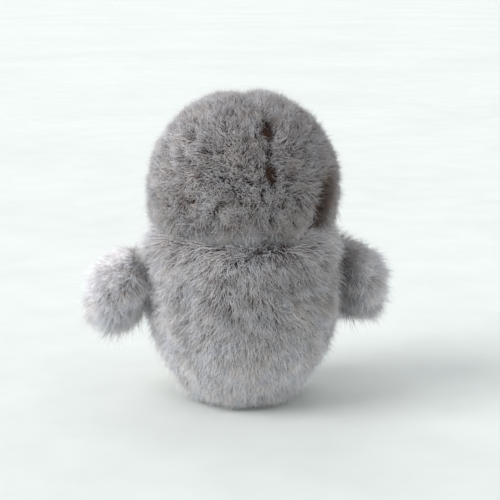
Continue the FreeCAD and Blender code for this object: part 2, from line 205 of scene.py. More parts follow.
class Look:
    """A node material under construction."""

    def __init__(self, name, **surface):
        self.material = bpy.data.materials.new(name)
        self.material.use_nodes = True
        self.tree = self.material.node_tree
        self.surface = self.tree.nodes["Principled BSDF"]
        for key, value in surface.items():
            self.surface.inputs[key.replace("_", " ").title().replace("Ior", "IOR")].default_value = value

    def add(self, kind, sockets=None, **settings):
        made = self.tree.nodes.new("ShaderNode" + kind)
        for key, value in settings.items():
            setattr(made, key, value)
        self.join(made, sockets or {})
        return made

    def join(self, made, sockets):
        for key, value in sockets.items():
            if isinstance(value, bpy.types.NodeSocket):
                self.tree.links.new(value, made.inputs[key])
            else:
                made.inputs[key].default_value = value

    def place(self, stretch=(1, 1, 1)):
        """Object coordinates, stretched."""
        coordinate = self.add("TexCoord").outputs["Object"]
        return self.add("Mapping", {"Vector": coordinate, "Scale": stretch}).outputs["Vector"]

    def noise(self, size, detail=3.0, rough=0.6, stretch=(1, 1, 1)):
        """Noise whose features are about that many millimetres across."""
        sockets = {"Vector": self.place(stretch), "Scale": 1 / (size * MM), "Detail": detail}
        return self.add("TexNoise", {**sockets, "Roughness": rough}).outputs["Fac"]

    def ramp(self, value, *stops):
        made = self.add("ValToRGB", {"Fac": value})
        elements = made.color_ramp.elements
        while len(elements) < len(stops):
            elements.new(0.5)
        for element, (place, colour) in zip(elements, stops):
            element.position = place
            element.color = (*colour, 1.0)
        return made.outputs["Color"]

    def maths(self, operation, a, b):
        return self.add("Math", {0: a, 1: b}, operation=operation).outputs[0]

    def mix(self, share, a, b, blend="MIX"):
        made = self.add("Mix", data_type="RGBA", blend_type=blend)
        self.join(made, {0: share, 6: a, 7: b})
        return made.outputs[2]

    def bump(self, height, distance, strength=1.0):
        sockets = {"Height": height, "Distance": distance * MM, "Strength": strength}
        self.join(self.surface, {"Normal": self.add("Bump", sockets).outputs["Normal"]})

    def done(self, colour=None, roughness=None):
        if colour is not None:
            self.join(self.surface, {"Base Color": colour})
        if roughness is not None:
            self.join(self.surface, {"Roughness": roughness})
        return self.material


def pile_look(name, root, low, middle, tip, sheen):
    """Fibre colour from the root to the tip, with each strand and each tuft a little different."""
    look = Look(name, roughness=0.62, specular_ior_level=0.25, sheen_weight=sheen, sheen_roughness=0.45)
    strand = look.add("Attribute", attribute_name="pile", attribute_type="GEOMETRY").outputs["Vector"]
    along, own, tone = look.add("SeparateXYZ", {0: strand}).outputs
    reach = look.maths("ADD", along, look.maths("MULTIPLY", look.maths("SUBTRACT", own, 0.5), 0.22))
    colour = look.ramp(reach, (0.06, root), (0.28, low), (0.6, middle), (0.95, tip))
    patches = look.noise(7.0)
    warm = look.ramp(patches, (0.35, (0.97, 1.0, 1.04)), (0.65, (1.03, 0.99, 0.95)))
    colour = look.mix(1.0, colour, warm, "MULTIPLY")
    # tone below the middle darkens a strand towards brown and above it lightens: it carries painted shade
    # and painted light as well as each tuft's own tone
    shade = look.ramp(tone, (0.0, (0.31, 0.235, 0.195)), (0.5, (1.0, 1.0, 1.0)), (1.0, (1.56, 1.57, 1.59)))
    colour = look.mix(1.0, colour, shade, "MULTIPLY")
    return look.done(colour, look.ramp(own, (0.0, (0.5,) * 3), (1.0, (0.75,) * 3)))


def hide_look(name, dark, light):
    """Knitted backing: rows of small loops."""
    look = Look(name, roughness=0.9, specular_ior_level=0.1)
    sockets = {"Vector": look.place((1, 1, 1.6)), "Scale": 1 / (LOOP_SIZE * MM)}
    loops = look.add("TexVoronoi", sockets).outputs["Distance"]
    look.bump(loops, 0.15)
    return look.done(look.ramp(look.maths("ADD", loops, look.noise(3.0)), (0.45, light), (1.1, dark)), None)


def mottled_look(name, grain, dark, light, height, rough=(0.7, 0.95), detail=6.0, stretch=(1, 1, 1),
                 **surface):
    """A material of two tones with a matching bump: felt, fibre, board, card, plastic or metal."""
    look = Look(name, **surface)
    value = look.noise(grain, detail, 0.65, stretch)
    look.bump(value, height)
    colour = look.ramp(value, (0.32, dark), (0.68, light))
    cloud = look.ramp(look.noise(grain * 9), (0.3, (0.93,) * 3), (0.7, (1.0,) * 3))
    colour = look.mix(1.0, colour, cloud, "MULTIPLY")
    return look.done(colour, look.ramp(value, (0.3, (rough[0],) * 3), (0.7, (rough[1],) * 3)))


def wave_look(name, pitch, dark, light, height, direction="DIAGONAL", rough=0.75):
    """Twisted thread, or a woven cloth where two directions cross."""
    look = Look(name, roughness=rough)
    sockets = {"Vector": look.place(), "Scale": 0.314 / (pitch * MM), "Distortion": 0.6, "Detail": 1.0}
    ply = look.add("TexWave", sockets, bands_direction=direction).outputs["Fac"]
    if direction != "DIAGONAL":
        across = look.add("TexWave", sockets, bands_direction="Z").outputs["Fac"]
        ply = look.maths("MULTIPLY", ply, across)
    look.bump(ply, height)
    return look.done(look.ramp(look.maths("ADD", ply, look.maths("MULTIPLY", look.noise(2.0), 0.3)),
                               (0.1, dark), (0.9, light)), None)


GREY_PILE = pile_look("grey_pile", (0.055, 0.033, 0.026), (0.17, 0.146, 0.143), (0.4, 0.378, 0.386),
                      (0.72, 0.71, 0.73), 0.25)
WHITE_PILE = pile_look("white_pile", (0.78, 0.75, 0.7), (0.88, 0.86, 0.82), (0.94, 0.93, 0.91),
                       (0.97, 0.965, 0.95), 0.2)
GREY_HIDE = hide_look("grey_pile_backing", (0.055, 0.031, 0.025), (0.155, 0.098, 0.08))
WHITE_HIDE = hide_look("white_pile_backing", (0.75, 0.71, 0.65), (0.88, 0.86, 0.82))
STUFFING = mottled_look("fibre_fill", 0.5, (0.62, 0.61, 0.59), (0.88, 0.88, 0.87), 0.35, stretch=(1, 1, 3),
                        sheen_weight=0.3)
FELT = mottled_look("felt", 0.4, (0.5, 0.19, 0.035), (0.72, 0.31, 0.07), 0.12, sheen_weight=0.4,
                    specular_ior_level=0.2)
COTTON = wave_look("cotton", 0.5, (0.5, 0.47, 0.4), (0.76, 0.73, 0.66), 0.08, "X", 0.85)
THREAD = wave_look("thread", 0.35, (0.09, 0.075, 0.075), (0.26, 0.235, 0.24), 0.08)
FELT_THREAD = wave_look("felt_thread", 0.3, (0.3, 0.1, 0.02), (0.55, 0.23, 0.06), 0.06)
FIBREBOARD = mottled_look("fibreboard", 0.6, (0.14, 0.075, 0.035), (0.3, 0.18, 0.09), 0.08)
CARD = mottled_look("card", 0.9, (0.33, 0.28, 0.21), (0.5, 0.44, 0.35), 0.04)
STEEL = mottled_look("steel", 0.5, (0.5, 0.5, 0.5), (0.68, 0.68, 0.66), 0.01, (0.25, 0.42), metallic=1.0,
                     stretch=(1, 1, 6))
BLACK_PLASTIC = mottled_look("black_plastic", 1.5, (0.006, 0.005, 0.005), (0.014, 0.012, 0.012), 0.003,
                             (0.06, 0.14), coat_weight=0.4)
GREY_PLASTIC = mottled_look("grey_plastic", 1.0, (0.3, 0.3, 0.31), (0.4, 0.4, 0.41), 0.02, (0.35, 0.5))
FLOOR = mottled_look("floor", 30.0, (0.705, 0.735, 0.71), (0.745, 0.775, 0.75), 0.05, (0.8, 0.95), 2.0)


# ---- camera and light

def aimed(made, place, target):
    made.location = place
    made.rotation_euler = (Vector(target) - Vector(place)).to_track_quat("-Z", "Y").to_euler()
    bpy.context.scene.collection.objects.link(made)
    return made


def set_stage():
    turn, rise = math.radians(AZIMUTH), math.radians(ELEVATION)
    right = Vector((math.cos(turn), math.sin(turn), 0))
    back = Vector((math.sin(turn) * math.cos(rise), -math.cos(turn) * math.cos(rise), math.sin(rise)))
    middle = Vector((0, 0, (CAD_BOX[0].z + CAD_BOX[1].z) / 2))
    aim = middle + right * AIM_RIGHT * MM + Vector((0, 0, AIM_UP * MM))
    lens = bpy.data.cameras.new("camera")
    lens.lens, lens.sensor_width = LENS, 36.0
    lens.clip_start, lens.clip_end = 0.01, 20.0
    bpy.context.scene.camera = aimed(bpy.data.objects.new("camera", lens), aim + back * DISTANCE, aim)

    for name, side, height, toward, angle, power in (
        ("key", -0.95, 0.75, 0.35, 38.0, 2.3),
        ("fill", 0.8, 0.5, 0.5, 60.0, 0.25),
        ("front", -0.3, 0.6, -1.0, 60.0, 0.7),
    ):
        light = bpy.data.lights.new(name, "SUN")
        light.angle, light.energy = math.radians(angle), power
        place = middle + right * side + Vector((0, 0, height)) + Vector((back.x, back.y, 0)) * toward
        aimed(bpy.data.objects.new(name, light), place, middle)

    world = bpy.data.worlds.new("world")
    world.use_nodes = True
    nodes, links = world.node_tree.nodes, world.node_tree.links
    height = nodes.new("ShaderNodeSeparateXYZ")
    links.new(nodes.new("ShaderNodeTexCoord").outputs["Generated"], height.inputs[0])
    sky = nodes.new("ShaderNodeValToRGB")  # as pale as the floor at the horizon, so that no edge shows
    links.new(height.outputs["Z"], sky.inputs["Fac"])
    for element, (place, colour) in zip(sky.color_ramp.elements, ((0.18, HORIZON), (0.5, SKY))):
        element.position, element.color = place, (*colour, 1)
    links.new(sky.outputs["Color"], nodes["Background"].inputs["Color"])
    nodes["Background"].inputs["Strength"].default_value = 1.0
    bpy.context.scene.world = world
    bpy.context.scene.view_settings.view_transform = "Standard"

    reach = 15000.0
    corners = [(-reach, -reach, 0), (reach, -reach, 0), (reach, reach, 0), (-reach, reach, 0)]
    floor = new_object("floor", mesh_of("floor", corners, [(0, 1, 2, 3)]))
    floor.data.materials.append(FLOOR)


# ---- fabric panels of the head and torso

def skin_profile(radius, rise, drop, widest, low, high, depth):
    """Points (radius, height) of the fabric under the pile, from the lower end to the upper."""
    start = math.asin((low - widest) / drop)
    end = math.asin(min(1.0, (high - widest) / rise))
    count = int((end - start) * (radius + max(rise, drop)) / 2 / GRID_STEP)
    latitude = np.linspace(start, end, count)
    half = np.where(latitude < 0, drop, rise)
    across, along = radius * np.cos(latitude), half * np.sin(latitude)
    out = unit(np.stack([across / radius**2, along / half**2], 1))
    return np.stack([across, along + widest], 1) - out * depth(along + widest)[:, None]


def capped(profile, tuck, at_top):
    """Rounds one end of a profile inward and closes it to the axis."""
    if at_top:
        profile = profile[::-1]
    edge = profile[0, 1]
    height = np.abs(profile[:, 1] - edge)
    inside = np.clip(tuck - height, 0, tuck)
    profile = profile.copy()
    profile[:, 0] -= tuck - np.sqrt(tuck**2 - inside**2)
    flat = np.arange(GRID_STEP / 2, profile[0, 0] - GRID_STEP / 2, 1.5 * GRID_STEP)
    cap = np.stack([np.append(0.0, flat), np.full(len(flat) + 1, edge)], 1)
    profile = np.concatenate([cap, profile])
    return profile[::-1] if at_top else profile


def globe_faces(rows, around):
    """Faces of a closed mesh of rings of points, from the lowest ring up, after which come the
    points at its lower and upper ends."""
    low, high = rows * around, rows * around + 1
    top = (rows - 1) * around
    faces = []
    for step in range(around):
        after = (step + 1) % around
        faces.append((low, after, step))
        for at in range(0, top, around):
            faces.append((at + step, at + after, at + around + after, at + around + step))
        faces.append((top + step, top + after, high))
    return faces


def revolve(profile):
    """Turns a profile whose ends lie on the axis into a closed mesh."""
    angle = np.arange(AROUND) * 2 * math.pi / AROUND
    rows = profile[1:-1]
    ring = np.stack([np.cos(angle), np.sin(angle)], 1)
    heights = np.broadcast_to(rows[:, None, 1:], (len(rows), AROUND, 1))
    points = np.concatenate([rows[:, None, :1] * ring[None], heights], 2)
    ends = [[0, 0, profile[0, 1]], [0, 0, profile[-1, 1]]]
    return np.concatenate([points.reshape(-1, 3), ends]), globe_faces(len(rows), AROUND)


def cut_along(edit, signed):
    """Splits edges and faces where a signed distance changes sign."""
    value = {vert: signed(np.array(vert.co) / MM) for vert in edit.verts}
    fresh = set()
    for edge in list(edit.edges):
        first, second = edge.verts
        if value[first] * value[second] < 0:
            share = value[first] / (value[first] - value[second])
            fresh.add(bmesh.utils.edge_split(edge, first, share)[1])
    for face in list(edit.faces):
        on_line = [vert for vert in face.verts if vert in fresh]
        if len(on_line) == 2:
            bmesh.utils.face_split(face, on_line[0], on_line[1])


def face_sign(point):
    """Below zero in the white face: a heart of two lobes and a chin."""
    if point[1] > 0:
        return ELSEWHERE
    spacing, height, radius = FACE_LOBE
    lobe = math.hypot(abs(point[0]) - spacing, point[2] - height) - radius
    chin_height, chin_radius = FACE_CHIN
    return min(lobe, math.hypot(point[0], point[2] - chin_height) - chin_radius)


def belly_sign(point):
    """Below zero in the white bib."""
    if point[1] > 0:
        return ELSEWHERE
    across, along = point[0] / BELLY_HALF_WIDTH, (point[2] - BELLY_MIDDLE) / BELLY_HALF_HEIGHT
    return (math.hypot(across, along) - 1.0) * BELLY_HALF_WIDTH


def base_sign(point):
    """Below zero in the round under the toy."""
    return math.hypot(point[0], point[1]) - BASE_RADIUS if point[2] < BASE_TOP else ELSEWHERE


def panels_of(verts, faces, signs):
    """Cuts a skin into named panels. Signs lists (name, signed distance); what lies in none of
    them goes to left or right."""
    whole = bmesh.new()
    mesh = mesh_of("skin", verts, faces)
    whole.from_mesh(mesh)
    for _, sign in signs:
        cut_along(whole, sign)
    whole.normal_update()
    groups = {}
    for face in whole.faces:
        middle = np.array(face.calc_center_median()) / MM
        name = next((name for name, sign in signs if sign(middle) < 0), None)
        groups.setdefault(name or ("left" if middle[0] > 0 else "right"), []).append(face)
    panels = {}
    for name, members in groups.items():
        order = {}
        points, outline, bend = [], [], []
        for face in members:
            corner = []
            for vert in face.verts:
                if vert not in order:
                    order[vert] = len(points)
                    points.append(np.array(vert.co) / MM)
                    bend.append(np.array(vert.normal))
                corner.append(order[vert])
            outline.append(corner)
        panels[name] = (np.array(points), outline, np.array(bend))
    whole.free()
    bpy.data.meshes.remove(mesh)
    return panels


def head_profile():
    """The head's fabric, from its end at the neck to the crown."""
    radius = HEAD_HIGH[0]
    profile = skin_profile(radius, radius, HEAD_DROP, HEAD_HIGH[2] - radius, HEAD_END, HEAD_HIGH[2],
                           lambda height: np.full(len(height), HEAD_DEPTH))
    profile = capped(profile, HEAD_TUCK, False)
    profile[-1, 0] = 0.0
    return profile


def torso_profile():
    """The torso's fabric, from the floor to its end at the neck."""
    def depth(height):
        return FLOOR_DEPTH + (TORSO_DEPTH - FLOOR_DEPTH) * smooth(height, 0.0, 14.0)

    profile = skin_profile(TORSO_HIGH[0], TORSO_RISE, TORSO_DROP, TORSO_WIDEST, 0.0, TORSO_END, depth)
    return capped(capped(profile, TORSO_TUCK, True), 0.6, False)


def bent_round(profile, end, upward):
    """Bends strands round the next body at the neck, whose fabric has that profile and a flat end
    at that height: outward past its wall or flat against its end, whichever is nearer."""
    wall = profile[np.abs(profile[:, 1] - end) > 0.01]
    beyond = 1.0 if upward else -1.0

    def bend(spine):
        around = np.hypot(spine[..., 0], spine[..., 1])
        into_end = beyond * (spine[..., 2] - end) + SKIN_GAP
        into_wall = np.interp(spine[..., 2], wall[:, 1], wall[:, 0]) + SKIN_GAP - around
        inside = (into_end > 0) & (into_wall > 0)
        sideways = inside & (into_wall <= into_end)
        spine = spine.copy()
        spine[..., :2] *= np.where(sideways, 1 + into_wall / np.maximum(around, 1e-6), 1.0)[..., None]
        spine[..., 2] -= beyond * np.where(inside & ~sideways, into_end, 0.0)
        return spine

    return bend


def past_pins(points, faces):
    """Leaves out the faces where a joint's pin passes, and the points that only they use."""
    middle = np.array([points[face].mean(0) for face in faces])
    open_here = np.zeros(len(faces), bool)
    for joint in frame["joints"]:
        offset = middle - np.array(joint["pos_m"]) / MM
        along = offset @ unit(np.array(joint["axis"], float))
        aside = np.sqrt(np.maximum((offset**2).sum(1) - along**2, 0))
        open_here |= (aside < PIN_HOLES[joint["name"]]) & (np.abs(along) < PIN_REACH)
    kept = [face for face, gone in zip(faces, open_here) if not gone]
    used = sorted({vert for face in kept for vert in face})
    place = {vert: index for index, vert in enumerate(used)}
    return used, [[place[vert] for vert in face] for face in kept]


# ---- seams and partings

def from_back(points):
    """Angle round the head from the middle of its back, in degrees, towards either side."""
    return np.degrees(np.abs(np.arctan2(points[:, 0], points[:, 1])))


HEAD_BALD_SPOTS = ((103.5, 2.5, 2.8), (90.0, 2.3, 3.1))  # height, half-width, half-height


def from_parting(points):
    """How far a point lies to the left of the parting down the back of the head, which starts on
    the seam at the crown and drifts to its right."""
    return points[:, 0] + 3.6 * smooth(points[:, 2], 117.0, 106.0) + 0.5 * np.sin(points[:, 2] / 3.1)


def back_seam(points):
    """Distance from the parting down the back of the head, or far away in front."""
    return np.abs(from_parting(points)) + 40.0 * smooth(points[:, 1], -13.0, -22.0)


def dart_seam(points):
    """Distance from the dart at each side of the head, which rises from the neck."""
    return np.abs(beyond_dart(points)) + 30.0 * smooth(points[:, 2], 87.0, 95.0)


def head_dents(points):
    """How far the head's fabric is drawn in at its seams."""
    crown = smooth(points[:, 2], 108.0, 116.0)
    centre = (0.5 + 2.3 * crown) * np.exp(-((back_seam(points) / 2.8) ** 2))
    return centre + 4.6 * dart_depth(points)


def beyond_dart(points):
    """How far a point lies past its dart towards the face, along the surface."""
    angle = DART_ANGLE + DART_SLANT * (points[:, 2] - HEAD_LOW[2]) / DART_HEIGHT
    return np.radians(from_back(points) - angle) * HEAD_HIGH[0]


def dart_depth(points):
    """How near a point is to the bottom of a dart, from 0 to 1."""
    near = np.exp(-((dart_seam(points) / DART_WIDTH) ** 2)) * smooth(points[:, 2], 93.0, 84.0)
    return near * np.where(points[:, 0] > 0, LEFT_DART, 1.0)


# ---- pile

def scatter(panel, count, density=None):
    """Random points on a panel, evenly spread or by density, with the surface's normals."""
    points, faces, bend = panel
    fans = [(face[0], face[step], face[step + 1]) for face in faces for step in range(1, len(face) - 1)]
    corners = np.array(fans)
    a, b, c = (points[corners[:, k]] for k in range(3))
    area = np.linalg.norm(np.cross(b - a, c - a), axis=1) / 2
    if density is not None:
        area = area * density((a + b + c) / 3)
    total = np.cumsum(area)
    pick = (np.arange(count) + DRAW.random(count)) / count * total[-1]
    chosen = np.minimum(np.searchsorted(total, pick), len(corners) - 1)
    u, v = DRAW.random((2, count))
    flip = u + v > 1
    u[flip], v[flip] = 1 - u[flip], 1 - v[flip]
    share = np.stack([1 - u - v, u, v], 1)[:, :, None]
    roots = (points[corners[chosen]] * share).sum(1)
    return roots, unit((bend[corners[chosen]] * share).sum(1))


def strand_mesh(name, spine, normal, width, pile):
    """Closed three-sided spikes along spines of four points, with normals between the
    spike's own and the surface's."""
    count = len(spine)
    along = unit(np.gradient(spine, axis=1))
    side = unit(np.cross(along, unit(DRAW.normal(size=(count, 1, 3)))))
    other = np.cross(along, side)
    rings, lean_out = [], []
    for corner in range(3):
        angle = corner * 2 * math.pi / 3
        out = side * math.cos(angle) + other * math.sin(angle)
        rings.append(spine[:, :3] + out[:, :3] * (width[:, None] * TAPER)[:, :, None])
        lean_out.append(out[:, :3])
    verts = np.concatenate([np.stack(rings, 2).reshape(count, 9, 3), spine[:, 3:]], 1)
    out = np.concatenate([np.stack(lean_out, 2).reshape(count, 9, 3), along[:, 3:]], 1)
    verts[:, :, 2] = np.maximum(verts[:, :, 2], FLOOR_CLEAR)
    normals = unit(normal[:, None] + out * OWN_ROUND)

    quads = [(low + k, low + (k + 1) % 3, low + 3 + (k + 1) % 3, low + 3 + k)
             for low in (0, 3) for k in range(3)]
    tris = [(6 + k, 6 + (k + 1) % 3, 9) for k in range(3)] + [(2, 1, 0)]
    pattern = np.array([corner for face in quads + tris for corner in face])
    sizes = np.array([4] * len(quads) + [3] * len(tris))
    loops = (pattern[None] + 10 * np.arange(count)[:, None]).ravel()
    starts = np.concatenate([[0], np.cumsum(np.tile(sizes, count))[:-1]])

    mesh = bpy.data.meshes.new(name)
    mesh.vertices.add(count * 10)
    mesh.vertices.foreach_set("co", (verts * MM).astype(np.float32).ravel())
    mesh.loops.add(len(loops))
    mesh.loops.foreach_set("vertex_index", loops.astype(np.int32))
    mesh.polygons.add(len(starts))
    mesh.polygons.foreach_set("loop_start", starts.astype(np.int32))
    mesh.update(calc_edges=True)
    mesh.shade_smooth()
    level = np.append(np.repeat(SPINE[:3], 3), 1.0)
    values = np.concatenate([np.broadcast_to(level[None, :, None], (count, 10, 1)),
                             np.broadcast_to(pile[:, None], (count, 10, 2))], 2)
    stored = mesh.attributes.new("pile", "FLOAT_VECTOR", "POINT")
    stored.data.foreach_set("vector", values.astype(np.float32).ravel())
    mesh.normals_split_custom_set_from_vertices(normals.reshape(-1, 3).astype(np.float32))
    return mesh


def grow(name, roots, normals, comb, lean, length, width, coat, tuft, pinch, curl, spread=0.35,
         tone=0.0, settle=None):
    """Grows tufted pile and makes its pieces. Comb is a direction along the surface, lean the
    angle from the normal in degrees and length in millimetres, one for each root. Tuft is the
    strands to a tuft, pinch how far they close up, curl and spread how unruly they are, and tone
    lightens or darkens them. Settle, a function, moves the spines at last. Coat is the pile's
    material, body, record slot and CAD node; the record slot is not used."""
    look, body, slot, node = coat
    count = len(roots)
    tree_size = max(8, int(count / tuft))
    centres = DRAW.choice(count, tree_size, replace=False)
    tree = KDTree(tree_size)
    for index in centres:
        tree.insert(roots[index], int(index))
    tree.balance()
    own = np.array([tree.find(root)[1] for root in roots])
    heading = unit(tangent(comb[own] + spread * DRAW.normal(size=(count, 3)), normals))
    tuft_random = DRAW.random(count)[own]
    single = DRAW.random(count)
    guard = single > 1 - GUARD_SHARE
    angle = np.radians(lean[own] * 0.75 + lean * 0.25) * (1 + 0.25 * (tuft_random - 0.5))
    angle = angle + DRAW.normal(0, 0.09, count)
    angle = np.clip(np.where(guard, angle * 0.75, angle), 0.02, 1.45)
    reach = length * (0.86 + 0.24 * tuft_random) * DRAW.uniform(0.8, 1.1, count)
    reach = np.where(guard, reach * GUARD_LENGTH, reach)
    rise = np.cos(angle)[:, None] * SPINE * (1.25 - 0.25 * SPINE)
    run = np.sin(angle)[:, None] * (0.4 * SPINE + 0.6 * SPINE**2)
    roots = roots - normals * ROOT_SINK
    reach = reach[:, None, None]
    spine = roots[:, None] + reach * (normals[:, None] * rise[..., None] + heading[:, None] * run[..., None])
    side = np.cross(normals, heading)
    turns = DRAW.uniform(0, 6.28, (count, 1)) + SPINE * DRAW.uniform(2.0, 6.0, (count, 1))
    spine += side[:, None] * (curl * np.sin(turns) * SPINE)[..., None]
    hold = np.where(guard, GUARD_HOLD, pinch)
    spine += (roots[own] - roots)[:, None] * hold[:, None, None] * (SPINE**1.4)[None, :, None]
    if settle is not None:
        spine = settle(spine)
    thick = width * DRAW.uniform(0.75, 1.2, count) * np.where(guard, GUARD_WIDTH, 1.0)
    light = 0.5 + 0.16 * (tuft_random - 0.5) + tone
    pile = np.stack([single, np.clip(light, 0, 1)], 1)
    for number, part in enumerate(np.array_split(np.arange(count), math.ceil(count / STRANDS_A_PIECE))):
        mesh = strand_mesh(f"{name}_{number + 1}", spine[part], normals[part], thick[part], pile[part])
        finish_piece(new_object(mesh.name, mesh), body, look, [node])


# ---- head and torso

def make_hide(name, panel, coat):
    """The backing of one panel, turned in a little at its edges. Coat is its material, body, record
    slot and CAD node; the record slot is not used."""
    look, body, slot, node = coat
    points, faces, bend = panel
    kept, faces = past_pins(points, faces)
    points, bend = points[kept], bend[kept]
    used = {}
    for face in faces:
        for first, second in zip(face, face[1:] + face[:1]):
            used[frozenset((first, second))] = used.get(frozenset((first, second)), 0) + 1
    edge = {vert for pair, times in used.items() if times == 1 for vert in pair}
    inward = np.zeros(len(points))
    inward[list(edge)] = 0.35
    made = new_object(name, mesh_of(name, points - bend * inward[:, None], faces))
    thickened(made, HIDE_T)
    finish_piece(made, body, look, [node])


def seam_gap(points):
    """How far open the pile stands along the parting, from 0 to 1: a thin line, wider at the crown."""
    height = points[:, 2]
    return np.clip(0.06 + 1.0 * np.exp(-(((height - 118.0) / 4.0) ** 2))
                   + 0.35 * np.exp(-(((height - 96.5) / 2.0) ** 2)), 0, 1)


def bald_spots(points):
    """How near a point is to a thin place in the pile beside the parting, from 0 to 1, and the
    way out of it."""
    near, out = np.zeros(len(points)), np.zeros((len(points), 3))
    for height, half_width, half_height in HEAD_BALD_SPOTS:
        across, along = from_parting(points), points[:, 2] - height
        here = np.exp(-((across / half_width) ** 2) - (along / half_height) ** 2) * (points[:, 1] > 0)
        near = np.maximum(near, here)
        out[:, 0] += here * np.sign(across)
        out[:, 2] += here * along / half_height
    return near, out


def head_density(points):
    """How thick the head's pile stands: thin along its seams, at its thin places and at its flat end."""
    open_seam = np.exp(-((back_seam(points) / 2.0) ** 2)) * seam_gap(points)
    dart = 1.25 * dart_depth(points)
    bald = 1.15 * bald_spots(points)[0]
    flat = smooth(points[:, 2], HEAD_END + 0.1, HEAD_END + 1.0)
    return np.clip(1 - open_seam - dart - bald, 0.06, 1) * (0.02 + 0.98 * flat)


def grow_head_pile(side, panel):
    """Unruly pile, combed off the parting, the thin places and the darts, and down at the neck."""
    roots, normals = scatter(panel, HEAD_STRANDS, head_density)
    x, y, z = roots.T
    low = smooth(z, 88.0, 67.0)
    comb = 0.6 * waves(roots, 16.0) + 0.9 * waves(roots, 5.0) - UP * (0.1 + 1.5 * low[:, None])
    lean = 22 + 10 * wave(roots, 7.0) + 26 * low

    away = np.zeros((len(roots), 3))
    seam = np.exp(-((back_seam(roots) / 2.6) ** 2)) * (0.15 + seam_gap(roots))
    away[:, 0] = np.sign(from_parting(roots)) * seam * 3.0
    bald, out_of_bald = bald_spots(roots)
    away += 4.0 * out_of_bald
    around = np.stack([y, -x, np.zeros(len(roots))], 1) / HEAD_HIGH[0]
    beyond, dart = beyond_dart(roots), dart_depth(roots)
    far_side = np.exp(-(((beyond - 4.5) / 3.6) ** 2)) * smooth(z, 92.0, 84.0) * (x < 0)
    away += around * (np.sign(beyond) * np.sign(x) * np.maximum(dart, far_side) * 6.0)[:, None]
    comb = tangent(comb + away, normals)
    lean = lean + 12 * seam + 14 * dart + 22 * far_side + 18 * bald
    near_dart = np.exp(-((dart_seam(roots) / 8.0) ** 2)) * (x < 0)
    length = 5.1 + 0.35 * wave(roots, 9.0) - 2.2 * dart + 1.2 * low * (1 - near_dart) - 1.6 * bald

    # at the left of the neck the pile hangs longer and paler over the torso
    skirt = smooth(z, 74.0, 65.0) * smooth(x, -4.0, 10.0) * smooth(y, -12.0, 2.0)
    comb = tangent(comb - 1.6 * UP * skirt[:, None], normals)
    lean = lean + 8 * skirt
    length = length + 0.9 * low * smooth(x, -8.0, 12.0) + 3.4 * skirt
    length = length - 0.8 * x / HEAD_HIGH[0]
    # painted shade: the strands in and beside the right dart darken towards brown, standing in for the shade
    # in its valley, and the right side's pile is darker than the left's, as the side away from the light
    tone = 0.1 * wave(roots, 6.0) - 0.72 * dart - 0.3 * far_side - 0.12 + 0.08 * x / HEAD_HIGH[0]
    tone = tone + 0.26 * skirt
    coat = GREY_PILE, "head", "grey_pile", f"head_panel_{side}"
    grow(f"head_pile_{side}", roots, normals, comb, lean, length, STRAND_WIDTH, coat, tuft=7.0, pinch=0.42,
         curl=1.0, spread=0.8, tone=tone, settle=bent_round(torso_profile(), TORSO_END, False))


def grow_face_pile(panel):
    """Short pile, parted down the middle of the face."""
    roots, normals = scatter(panel, FACE_STRANDS)
    apart = np.sign(roots[:, :1]) * np.array([[0.6, 0, 0]])
    comb = tangent(waves(roots, 12.0) * 0.4 - UP + apart, normals)
    lean, length = np.full(len(roots), 35.0), np.full(len(roots), 2.7)
    coat = WHITE_PILE, "head", "white_pile", "face_panel"
    grow("face_pile", roots, normals, comb, lean, length, 0.11, coat, tuft=7.0, pinch=0.35, curl=0.3)


def make_head():
    """The head's three panels and their pile."""
    verts, faces = revolve(head_profile())
    centre = np.array([0, 0, HEAD_HIGH[2] - HEAD_HIGH[0]])
    out = unit(verts - centre)
    verts = verts - out * head_dents(verts)[:, None]
    panels = panels_of(verts, faces, [("face", face_sign)])
    for side in ("left", "right"):
        make_hide(f"head_hide_{side}", panels[side], (GREY_HIDE, "head", "grey_pile", f"head_panel_{side}"))
    make_hide("face_hide", panels["face"], (WHITE_HIDE, "head", "white_pile", "face_panel"))
    for side in ("left", "right"):
        grow_head_pile(side, panels[side])
    grow_face_pile(panels["face"])


def torso_density(points):
    """How thick the torso's pile stands: full but for its flat end at the neck."""
    return 0.02 + 0.98 * smooth(points[:, 2], TORSO_END - 0.1, TORSO_END - 1.0)


def grow_back_pile(side, panel):
    """Pile that falls and fans out, looser towards the neck and longest over the wings' roots."""
    roots, normals = scatter(panel, TORSO_STRANDS, torso_density)
    x, y, z = roots.T
    fan = np.array([[1.0, 0, 0]]) * roots[:, :1] / TORSO_HIGH[0] * 0.9
    high = smooth(z, 56.0, 64.0) * (0.75 - 0.45 * smooth(x, -6.0, 10.0))
    loose = 0.35 + 0.65 * smooth(z, 22.0, 48.0)[:, None]
    fall = -UP * (1.1 - 0.8 * high[:, None])
    comb = tangent(loose * (0.55 * waves(roots, 14.0) + 0.35 * waves(roots, 5.0)) + fan + fall, normals)
    floor = smooth(z, 9.0, 1.0)
    lean = 46 + 10 * wave(roots, 9.0) - 24 * high + 14 * floor
    length = 6.8 + 0.6 * wave(roots, 8.0) + 0.6 * high - 0.8 * floor
    # painted light: the pile grows lighter towards the floor, as lit by light bounced off it, and lighter on
    # the left, the lit side; the top by the neck is lighter too
    tone = 0.12 * wave(roots, 6.0) + 0.46 * smooth(z, 46.0, 10.0)
    tone = tone + 0.12 * x / TORSO_HIGH[0] + 0.22 * high
    shoulder = np.exp(-((np.abs(x) - 33.0) / 7.0) ** 2 - ((z - 60.5) / 4.5) ** 2)
    shoulder = shoulder * np.exp(-(((y - 3.0) / 14.0) ** 2))
    lean = lean - (lean - 28.0) * shoulder
    length = length + 4.2 * shoulder
    coat = GREY_PILE, "torso", "grey_pile", f"back_panel_{side}"
    grow(f"back_pile_{side}", roots, normals, comb, lean, length, STRAND_WIDTH, coat, tuft=11.0, pinch=0.62,
         curl=0.7, spread=0.45, tone=tone, settle=bent_round(head_profile(), HEAD_END, True))


